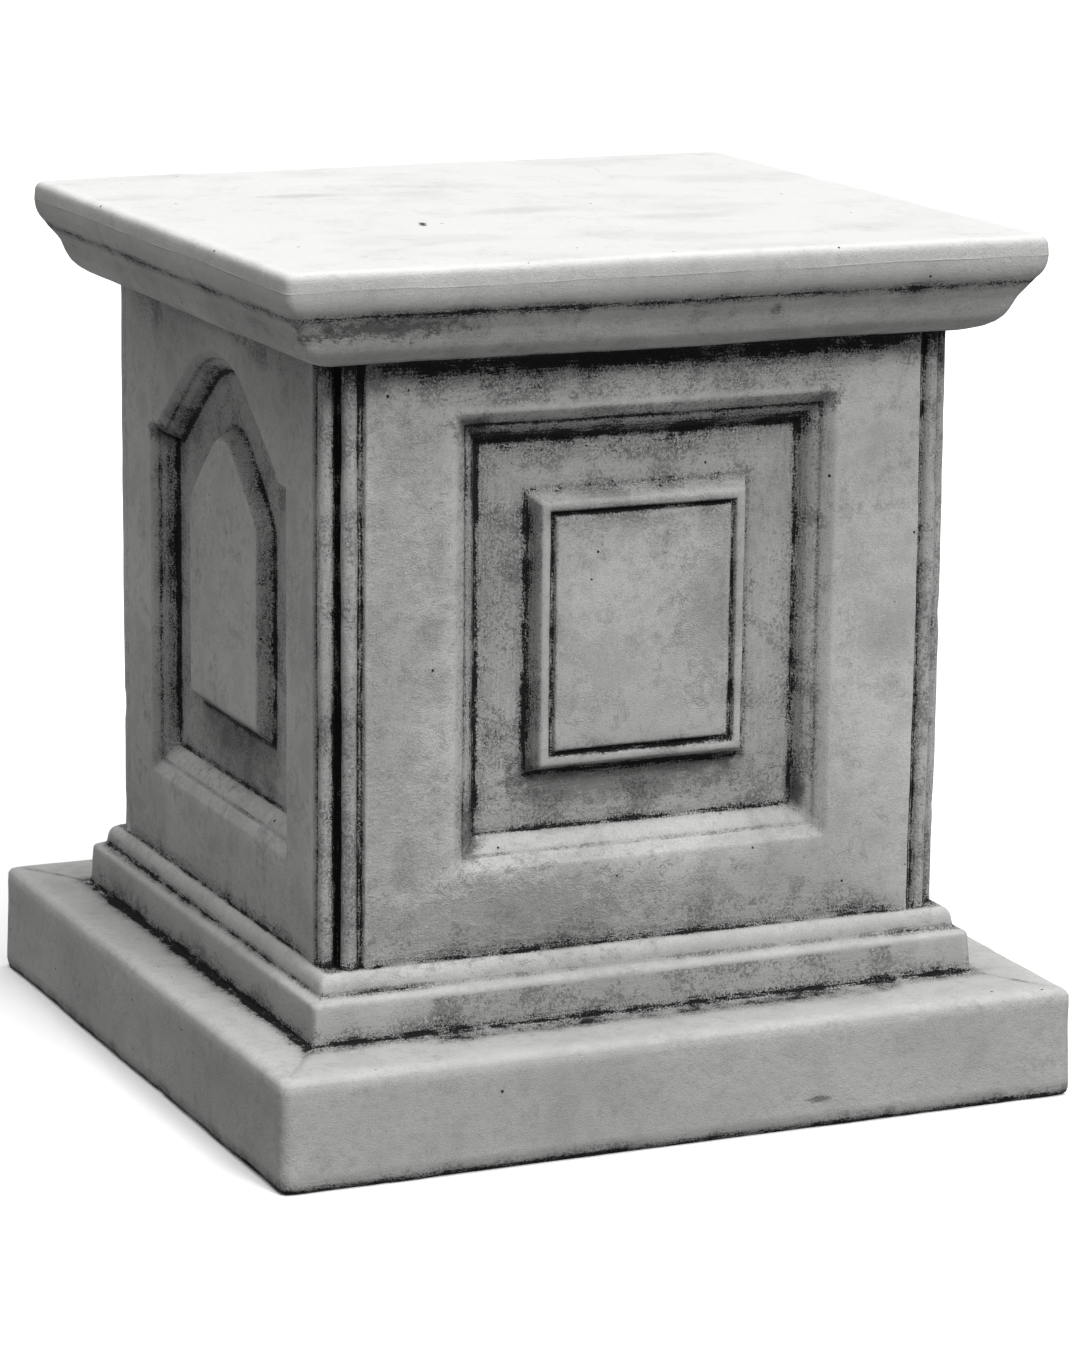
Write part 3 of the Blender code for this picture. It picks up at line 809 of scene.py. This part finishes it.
moved = np.clip(moved, np.array(cad_low) / MM, np.array(cad_high) / MM)
moved[(normals[:, 2] < FACING_DOWN) & (places[:, 2] < UNDERSIDE), 2] = 0.0
mesh.vertices.foreach_set("co", (moved * MM).astype(np.float32).ravel())
mesh.update()

# %% Keep hollows and edges for the material
FINE_FULL, BROAD_FULL = 0.3, 1.2
hollow = np.clip(fine / FINE_FULL, 0, 1) * 0.5 + np.clip(broad / BROAD_FULL, 0, 1) * 0.5
for name, values in (("hollow", hollow), ("wear", edge_wear)):
    layer = mesh.attributes.new(name, "FLOAT", "POINT")
    layer.data.foreach_set("value", values.astype(np.float32))
mesh.shade_smooth()

# %% [markdown]
# ## Shader arithmetic
# A stain is a sum of simple ideas: it lies in hollows, it comes off edges, it breaks into specks and brush
# strokes. To write that as plain arithmetic, a small class wraps a node's output and adds a Math node for
# each operator.

# %% Wrap a socket
NOISE_MEAN = 0.5


class Wire:
    """One output of a shader tree. Arithmetic on it adds Math nodes; node() adds any other."""

    def __init__(self, tree, socket):
        self.tree = tree
        self.socket = socket

    def node(self, kind, settings=None, inputs=None, out=0):
        """Add a node, set its settings, then set or link its inputs; returns one of its outputs."""
        made = self.tree.nodes.new(kind)
        for name, value in (settings or {}).items():
            setattr(made, name, value)
        for name, value in (inputs or {}).items():
            if isinstance(value, Wire):
                self.tree.links.new(value.socket, made.inputs[name])
            else:
                made.inputs[name].default_value = value
        return Wire(self.tree, made.outputs[out])

    def math(self, operation, first, second):
        """Add one Math node between two values."""
        return self.node("ShaderNodeMath", {"operation": operation}, {0: first, 1: second})

    def __add__(self, other):
        return self.math("ADD", self, other)

    def __radd__(self, other):
        return self.math("ADD", other, self)

    def __sub__(self, other):
        return self.math("SUBTRACT", self, other)

    def __rsub__(self, other):
        return self.math("SUBTRACT", other, self)

    def __mul__(self, other):
        return self.math("MULTIPLY", self, other)

    def most(self, other):
        """The larger of two values."""
        return self.math("MAXIMUM", self, other)

    def swing(self, weight):
        """A noise's swing to both sides of its mean: (noise minus mean) times weight."""
        return (self - NOISE_MEAN) * weight

    def between(self, low, high):
        """0 below low, 1 above high, and a smooth rise between them."""
        return self.node("ShaderNodeMapRange", {"interpolation_type": "SMOOTHSTEP"},
                         {"Value": self, "From Min": low, "From Max": high})


# %% Start the stone's tree
stone = bpy.data.materials.new("cast_stone_washed")
stone.use_nodes = True
tree = stone.node_tree
surface = tree.nodes["Principled BSDF"]
place = Wire(tree, tree.nodes.new("ShaderNodeTexCoord").outputs["Object"])
level = place.node("ShaderNodeSeparateXYZ", {}, {"Vector": place}, out=2)


def noise(size, detail=3.0, roughness=0.55, stretch=(1, 1, 1), offset=0.0, swirl=0.0):
    """Noise with lumps of about size millimetres; stretch lengthens them along an axis, swirl curls them."""
    scale = tuple(1 / (size * MM * along) for along in stretch)
    placed = place.node("ShaderNodeVectorMath", {"operation": "MULTIPLY_ADD"},
                        {0: place, 1: scale, 2: (offset, 2 * offset, 3 * offset)})
    return place.node("ShaderNodeTexNoise", {"noise_dimensions": "3D"},
                      {"Vector": placed, "Scale": 1.0, "Detail": detail, "Roughness": roughness,
                       "Distortion": swirl})


def attribute(name):
    """A value kept on the mesh."""
    return place.node("ShaderNodeAttribute", {"attribute_name": name}, out=2)


# %% [markdown]
# ## Stone and stain
# Dry-cast stone is a pale, slightly cloudy grey with a sandy grain and small bug holes where air was trapped.
# The stain was brushed on and wiped off: solid black in the creases, broken into specks near them, and drawn
# out in thin strokes along the mouldings. The plinth is darker than the top, partly with dirt and partly as
# painted shade; the top is painted paler, partly as stone that rain and hands keep clean and partly as
# painted light from above.

# %% Noises for the stone and the stain
cloud = noise(75, 3)
patch = noise(22, 5, 0.55, offset=3.0, swirl=0.4)
fleck = noise(4.5, 4, 0.65, offset=11.0, swirl=0.2)
speck = noise(0.75, 2, 0.6, offset=7.0)
grain = noise(0.5, 1, 0.6, offset=1.0)
stroke = noise(0.9, 3, 0.6, stretch=(12, 12, 1), offset=5.0, swirl=0.6)
run = noise(0.9, 3, 0.6, stretch=(1, 1, 12), offset=9.0, swirl=0.6)
smear = noise(42.0, 3, 0.5, stretch=(1.4, 1, 1), offset=2.0)
pit = noise(1.5, 2, 0.6, offset=4.0)

# %% How much stain lies here, painted shade included, and how it drifts from place to place
TOP_FROM, TOP_TO = 384.5 * MM, 386 * MM
STAIN_KEPT, STAIN_PATCHY, STAIN_IN_HOLLOWS = 0.9, 0.6, 0.12
DRIFT_PATCH, DRIFT_FLECK, DRIFT_STREAK = 0.75, 0.75, 1.6
stain = attribute("stain")
hollow_here = attribute("hollow")
wear = attribute("wear")
upright = attribute("upright")
streak = stroke * (1 - upright) + run * upright
top = level.between(TOP_FROM, TOP_TO)
amount = stain * (STAIN_KEPT + patch.swing(STAIN_PATCHY)) + hollow_here * STAIN_IN_HOLLOWS
drift = patch.swing(DRIFT_PATCH) + fleck.swing(DRIFT_FLECK) + streak.swing(amount) * DRIFT_STREAK
dots = speck.between(0.38, 0.62)

# %% Solid stain in a crease, a speckled haze beside it, and peppery grains further out
CREASE_DRIFT, CREASE_DOTS = 0.8, 0.16
HAZE_DOTS, HAZE_EVEN, HAZE_STRENGTH = 1.3, 0.35, 0.62
PEPPER_PATCH, PEPPER_STRENGTH = 0.8, 0.55
crease = (amount + drift * CREASE_DRIFT + dots * CREASE_DOTS).between(0.70, 0.98)
haze = (amount + drift).between(-0.05, 0.9) * (dots * HAZE_DOTS + HAZE_EVEN) * HAZE_STRENGTH
pepper = (pit + patch.swing(PEPPER_PATCH)).between(0.54, 0.62) * amount.between(0.14, 0.36) * PEPPER_STRENGTH
haze = haze.most(pepper)

# %% Bug holes: one in each cell of space, but most are too small to see
CELL_SIZE = 11 * MM
HOLE_SIZE, HOLE_EDGE = 0.050, 0.025
cell = {"Vector": place, "Scale": 1 / CELL_SIZE, "Randomness": 1.0}
cell_distance = place.node("ShaderNodeTexVoronoi", {"feature": "F1"}, cell)
cell_colour = place.node("ShaderNodeTexVoronoi", {"feature": "F1"}, cell, out=1)
chosen = cell_colour.node("ShaderNodeSeparateColor", {}, {"Color": cell_colour}).between(0.45, 1.0)
hole = 1 - (cell_distance - chosen * HOLE_SIZE).between(0.0, HOLE_EDGE)

# %% Marks at known places, in millimetres: (centre, half sizes, strength, raggedness)
# The first three together are one dark dot on the top.
MARK_FROM, MARK_TO = 0.30, 1.20
FRAY_FLECK, FRAY_DOTS = 1.4, 0.25
MARKS = (
    ((-67.3, -43.5, 386.0), (1.7, 3.2, 4.0), 1.0, 0.0),
    ((-66.1, -40.2, 386.0), (1.7, 3.2, 4.0), 1.0, 0.0),
    ((-64.9, -36.9, 386.0), (1.7, 3.2, 4.0), 1.0, 0.0),
    ((-81.7, 68.9, 386.0), (22.0, 8.0, 4.0), 0.20, 0.8),
    ((52.9, -53.1, 386.0), (30.0, 12.0, 4.0), 0.12, 1.0),
    ((-7.7, -13.4, 386.0), (30.0, 12.0, 4.0), 0.13, 1.0),
    ((-157.5, -157.5, 361.1), (4.5, 6.0, 3.2), 0.75, 1.0),
    ((-132.0, -157.5, 360.0), (34.0, 6.0, 5.0), 0.66, 2.4),
    ((49.1, -160.0, 358.2), (3.5, 6.0, 3.5), 0.6, 1.0),
    ((79.0, -127.0, 137.0), (5.5, 6.0, 9.5), 0.7, 0.8),
    ((-84.0, -131.0, 312.0), (10.0, 9.0, 7.0), 0.60, 1.6),
    ((86.0, -131.0, 315.0), (9.0, 9.0, 6.0), 0.55, 1.6),
    ((-81.0, -128.0, 130.0), (6.0, 8.0, 15.0), 0.62, 2.0),
    ((-55.0, -128.0, 156.0), (8.0, 8.0, 9.0), 0.6, 2.0),
    ((-4.0, -126.0, 148.0), (58.0, 6.0, 9.0), 0.38, 2.6),
    ((-120.0, -137.5, 190.0), (24.0, 9.0, 130.0), 0.14, 2.2),
    ((-70.0, -137.5, 98.0), (80.0, 9.0, 17.0), 0.22, 2.6),
    ((-143.0, 80.0, 279.0), (9.0, 11.0, 6.0), 0.7, 1.6),
    ((-138.0, 0.0, 150.0), (7.0, 60.0, 24.0), 0.3, 1.6),
    ((62.6, -190.0, 12.8), (6.0, 3.0, 1.8), 0.6, 1.0),
    ((-12.0, -134.0, 272.0), (44.0, 9.0, 9.0), 0.16, 2.2),
    ((32.0, -134.0, 222.0), (17.0, 9.0, 38.0), 0.13, 2.2),
    ((-30.0, -134.0, 186.0), (16.0, 9.0, 8.0), 0.12, 2.0),
)


def away_from(center, half):
    """Distance from a centre, counted in half sizes along each axis: 1 on the surface of that ellipsoid."""
    inverse = tuple(1 / (value * MM) for value in half)
    shifted = tuple(-at / value for at, value in zip(center, half))
    local = place.node("ShaderNodeVectorMath", {"operation": "MULTIPLY_ADD"},
                       {0: place, 1: inverse, 2: shifted})
    return local.node("ShaderNodeVectorMath", {"operation": "LENGTH"}, {0: local}, out=1)


frayed = fleck.swing(FRAY_FLECK) + dots.swing(FRAY_DOTS)
marks = hole
for center, half, strength, ragged in MARKS:
    distance = away_from(center, half) + frayed * ragged
    marks = marks.most((1 - distance.between(MARK_FROM, MARK_TO)) * strength)

# %% How the bare stone varies; the plinth and the cap's edge are calmer than the die
BLOTCH_FLECK, BLOTCH_DOTS, BLOTCH_EVEN, BLOTCH_DARK = 0.45, 0.9, 0.55, 0.16
VARIED, VARIED_DIE, VARIED_CAP = 0.75, 0.45, 0.60
varied = cloud.swing(0.60) + patch.swing(0.80) + fleck.swing(0.85)
varied = varied + dots.swing(0.15) + grain.swing(0.50)
blotched = (patch + fleck.swing(BLOTCH_FLECK)).between(0.50, 0.62) * (dots * BLOTCH_DOTS + BLOTCH_EVEN)
calm = level.between(60 * MM, 110 * MM) * VARIED_DIE - level.between(354 * MM, 368 * MM) * VARIED_CAP
varied = (varied - blotched * BLOTCH_DARK) * (VARIED + calm)

# %% Colour: paler on top and on worn edges, greyer towards the ground, then covered by the stain
# The pale top is partly clean stone and partly painted light from above; the grey low down is partly dirt and
# partly painted shade.
STONE_GREY, STAIN_GREY, WARMTH = 0.480, 0.008, 0.985
PALE, PALE_WEAR, PALE_TOP_AND_LIGHT, TOP_CALM, TOP_SMEAR = 1.02, 0.05, 0.10, 0.80, 0.10
LOW_DIRT_AND_SHADE, HIGH_CLEAN_AND_LIT = 0.81, 0.19
CREASE_COVER, MARK_COVER = 0.97, 0.96
pale = PALE + varied * (1 - top * TOP_CALM) + wear * PALE_WEAR + top * PALE_TOP_AND_LIGHT
pale = pale - smear.between(0.50, 0.70) * top * TOP_SMEAR
pale = pale * (LOW_DIRT_AND_SHADE + level.between(45 * MM, 190 * MM) * HIGH_CLEAN_AND_LIT)
bare = (1 - crease * CREASE_COVER) * (1 - haze) * (1 - marks * MARK_COVER)
tone = pale * STONE_GREY * bare + (1 - bare) * STAIN_GREY
colour = place.node("ShaderNodeCombineColor", {}, {"Red": tone, "Green": tone, "Blue": tone * WARMTH})
tree.links.new(colour.socket, surface.inputs["Base Color"])

# %% Roughness and bump; the skin is wrinkled low on the front's left and in some clouds
SHEEN = 0.1
ROUGH, ROUGH_CLOUD, ROUGH_STAIN = 0.84, 0.10, 0.06
WRINKLED_AT, WRINKLED_HALF = (-105.0, -137.5, 120.0), (75.0, 20.0, 85.0)
WRINKLED_CLOUDS = 0.7
RELIEF_GRAIN, RELIEF_SPECK, RELIEF_STREAK, RELIEF_MARKS = 0.12, 0.25, 0.05, 0.9
RELIEF_FLECK, RELIEF_WRINKLES = 0.12, 0.62
surface.inputs["Specular IOR Level"].default_value = SHEEN
roughness = ROUGH + cloud.swing(ROUGH_CLOUD) + (1 - bare) * ROUGH_STAIN
tree.links.new(roughness.socket, surface.inputs["Roughness"])
wrinkled_place = 1 - away_from(WRINKLED_AT, WRINKLED_HALF).between(0.5, 1.2)
wrinkled = (cloud.between(0.42, 0.62) * (1 - top) * WRINKLED_CLOUDS).most(wrinkled_place)
relief = grain * RELIEF_GRAIN + speck * RELIEF_SPECK + fleck * (RELIEF_FLECK + wrinkled * RELIEF_WRINKLES)
relief = relief + streak * RELIEF_STREAK - marks * RELIEF_MARKS
bump = place.node("ShaderNodeBump", {}, {"Height": relief, "Strength": 0.8, "Distance": 1.0 * MM})
tree.links.new(bump.socket, surface.inputs["Normal"])
mesh.materials.append(stone)
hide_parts("cast_pedestal")
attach(pedestal, "root")
print("Shader nodes:", len(tree.nodes))

# %% [markdown]
# ## Studio
# A pale floor under even, soft light. The light from above is strongest, so the top is almost white; a second
# light from the front models the front; the left face has only what the surround gives it. The floor is kept
# from throwing its light back up, so that undersides and hollows stay as dark as in the photograph.

# %% Floor, a hair below the plinth
FLOOR_HALF = 14
FLOOR_DROP = 0.0002
PAPER_GREY, PAPER_ROUGHNESS = 0.84, 0.9
floor_mesh = bpy.data.meshes.new("studio_floor")
floor_corners = [(-FLOOR_HALF, -FLOOR_HALF, 0), (FLOOR_HALF, -FLOOR_HALF, 0),
                 (FLOOR_HALF, FLOOR_HALF, 0), (-FLOOR_HALF, FLOOR_HALF, 0)]
floor_mesh.from_pydata(floor_corners, [], [(0, 1, 2, 3)])
floor = bpy.data.objects.new("studio_floor", floor_mesh)
floor.location.z = -FLOOR_DROP
floor.visible_diffuse = False
bpy.context.collection.objects.link(floor)
paper = bpy.data.materials.new("pale_paper")
paper.use_nodes = True
paper_inputs = paper.node_tree.nodes["Principled BSDF"].inputs
paper_inputs["Base Color"].default_value = (PAPER_GREY, PAPER_GREY, PAPER_GREY, 1)
paper_inputs["Roughness"].default_value = PAPER_ROUGHNESS
floor_mesh.materials.append(paper)

# %% Light
ROOM_STRENGTH = 0.262
NEARLY_UP = 0.99
world = bpy.data.worlds.new("soft_room")
world.use_nodes = True
world.node_tree.nodes["Background"].inputs["Color"].default_value = (1, 1, 1, 1)
world.node_tree.nodes["Background"].inputs["Strength"].default_value = ROOM_STRENGTH
bpy.context.scene.world = world


def facing(direction):
    """A turn whose local Z axis points along direction, with X kept level."""
    back = np.array(direction, float) / np.linalg.norm(direction)
    right = np.cross((0.0, 1.0, 0.0) if abs(back[2]) > NEARLY_UP else (0.0, 0.0, 1.0), back)
    right /= np.linalg.norm(right)
    return np.column_stack([right, np.cross(back, right), back])


def soft_light(name, azimuth, elevation, softness, strength):
    """An even light from far away; azimuth is counted from the front towards the right, in degrees."""
    side, tilt = math.radians(azimuth), math.radians(elevation)
    light = bpy.data.lights.new(name, "SUN")
    light.angle = math.radians(softness)
    light.energy = strength
    holder = bpy.data.objects.new(name, light)
    turn = facing((math.sin(side) * math.cos(tilt), -math.cos(side) * math.cos(tilt), math.sin(tilt)))
    holder.matrix_world = Matrix(turn.tolist()).to_4x4()
    bpy.context.collection.objects.link(holder)


soft_light("overhead", azimuth=20, elevation=86, softness=60, strength=3.3)
soft_light("front", azimuth=15, elevation=47, softness=16, strength=2.1)
bpy.context.scene.view_settings.view_transform = "Standard"

# %% [markdown]
# ## Camera
# The photograph looks down a little from the front left through a long lens. Position, aim and lens come
# from fitting the corners of plinth, base and cap. The fit counts in half widths of the plinth (UNIT, in
# metres), from the centre of a cube that stands on the ground and is as wide as the plinth.

# %% Camera
AZIMUTH, ELEVATION, ROLL = -23.875, 12.789, 0.569
FOCAL_PIXELS, IMAGE_HEIGHT = 4924.2, 1350.0
SLIDE_RIGHT, SLIDE_UP, DISTANCE = -0.0483, 0.1148, 11.9313
UNIT = 0.190
FOOT_LIFT = 0.0015
SENSOR = 36.0
azimuth, elevation, roll = np.radians([AZIMUTH, ELEVATION, ROLL])
back = np.array([math.sin(azimuth) * math.cos(elevation), -math.cos(azimuth) * math.cos(elevation),
                 math.sin(elevation)])
level_right = np.cross(-back, (0, 0, 1))
level_right /= np.linalg.norm(level_right)
upward = np.cross(level_right, -back)
right = math.cos(roll) * level_right + math.sin(roll) * upward
up = -math.sin(roll) * level_right + math.cos(roll) * upward
eye = (np.array([0, 0, 1.0]) - SLIDE_RIGHT * right - SLIDE_UP * up + DISTANCE * back) * UNIT
eye[2] += FOOT_LIFT
camera_data = bpy.data.cameras.new("camera")
camera_data.sensor_width = SENSOR
camera_data.lens = FOCAL_PIXELS / IMAGE_HEIGHT * SENSOR
camera = bpy.data.objects.new("camera", camera_data)
camera.matrix_world = Matrix([[right[i], up[i], back[i], eye[i]] for i in range(3)] + [[0, 0, 0, 1]])
bpy.context.collection.objects.link(camera)
bpy.context.scene.camera = camera
print("Camera at", np.round(eye, 3).tolist(), "lens %.1f mm" % camera_data.lens)

# %% Finish
bpy.context.view_layer.update()
